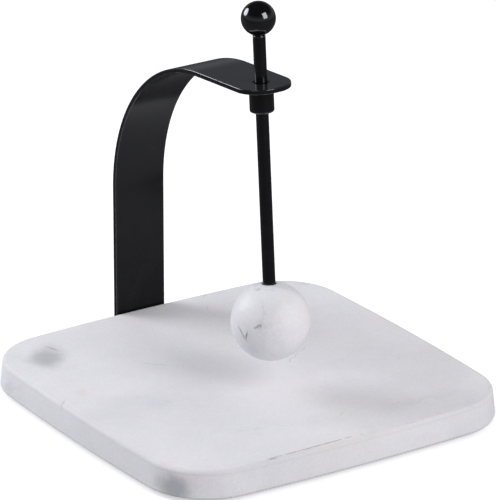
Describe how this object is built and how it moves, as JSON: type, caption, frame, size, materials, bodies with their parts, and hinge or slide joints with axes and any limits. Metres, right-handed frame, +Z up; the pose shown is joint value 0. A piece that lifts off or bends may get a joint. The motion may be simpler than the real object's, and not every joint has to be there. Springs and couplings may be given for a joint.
{
  "type": "napkin holder",
  "caption": "Free-standing napkin holder: square stone slab, bent strap arm at its back side and a sliding rod with a stone ball weight and a ball knob.",
  "frame": {"origin": "on the table, under the middle of the bounding box, within 1 mm of the slab's centre", "axes": "+Z up; the strap arm stands at the -X side and its plate reaches over the slab towards +X; -Y is the front, the side that shows the arm in profile"},
  "size_m": [0.2039, 0.2028, 0.2163],
  "materials": {
    "marble": "honed white marble with soft grey veins",
    "black_paint": "gloss black paint on steel",
    "brass": "plain turned",
    "steel": "plain zinc-plated",
    "rubber": "matt"
  },
  "bodies": {
    "stand": {"marble_base": "marble", "strap_arm": "black_paint", "guide_collar": "black_paint", "base_anchor_1": "brass", "base_anchor_2": "brass", "arm_screw_1": "steel", "arm_screw_2": "steel", "foot_front_left": "rubber", "foot_front_right": "rubber", "foot_back_left": "rubber", "foot_back_right": "rubber"},
    "weight": {"lift_rod": "black_paint", "knob": "black_paint", "marble_ball": "marble", "ball_insert": "brass"}
  },
  "joints": [
    {"name": "weight_lift", "type": "slide", "parent": "stand", "child": "weight", "axis": [-0.0732, 0, 0.9973], "range_m": [-0.0151, 0.0878]}
  ]
}
